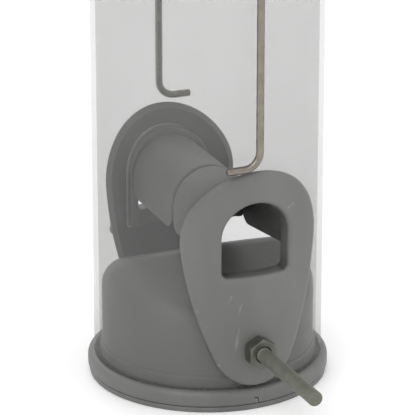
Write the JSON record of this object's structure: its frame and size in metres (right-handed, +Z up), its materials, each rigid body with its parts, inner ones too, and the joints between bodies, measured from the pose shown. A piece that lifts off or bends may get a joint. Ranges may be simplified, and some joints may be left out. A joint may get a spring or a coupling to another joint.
{
  "type": "hanging bird feeder",
  "caption": "Tube seed feeder: clear tube on a ridged base, two hooded ports with perches, a sliding wire bail and a lift-up lid.",
  "frame": {"origin": "middle of the rim's underside, where the feeder stands", "axes": "+Z up the tube; the front port faces -Y; the perch lies along Y"},
  "size_m": [0.0848, 0.1398, 0.3039],
  "materials": {
    "clear_plastic": "clear, smooth, faint extrusion lines",
    "grey_plastic": "moulded, fine satin grain",
    "perch_steel": "dull drawn bar, zinc plated",
    "nut_steel": "dull zinc plate",
    "bright_wire": "bright drawn stainless wire",
    "screw_steel": "bright zinc plate"
  },
  "bodies": {
    "feeder": {"tube": "clear_plastic", "base": "grey_plastic", "port_front": "grey_plastic", "port_back": "grey_plastic", "perch_rod": "perch_steel", "nut_front": "nut_steel", "nut_back": "nut_steel", "collar": "grey_plastic", "collar_screws": "screw_steel"},
    "bail": {"bail": "bright_wire"},
    "lid": {"lid": "grey_plastic"}
  },
  "joints": [
    {"name": "bail_slide", "type": "slide", "parent": "feeder", "child": "bail", "axis": [0, 0, 1], "range_m": [0, 0.107]},
    {"name": "lid_slide", "type": "slide", "parent": "feeder", "child": "lid", "axis": [0, 0, 1], "range_m": [0, 0.07]}
  ]
}
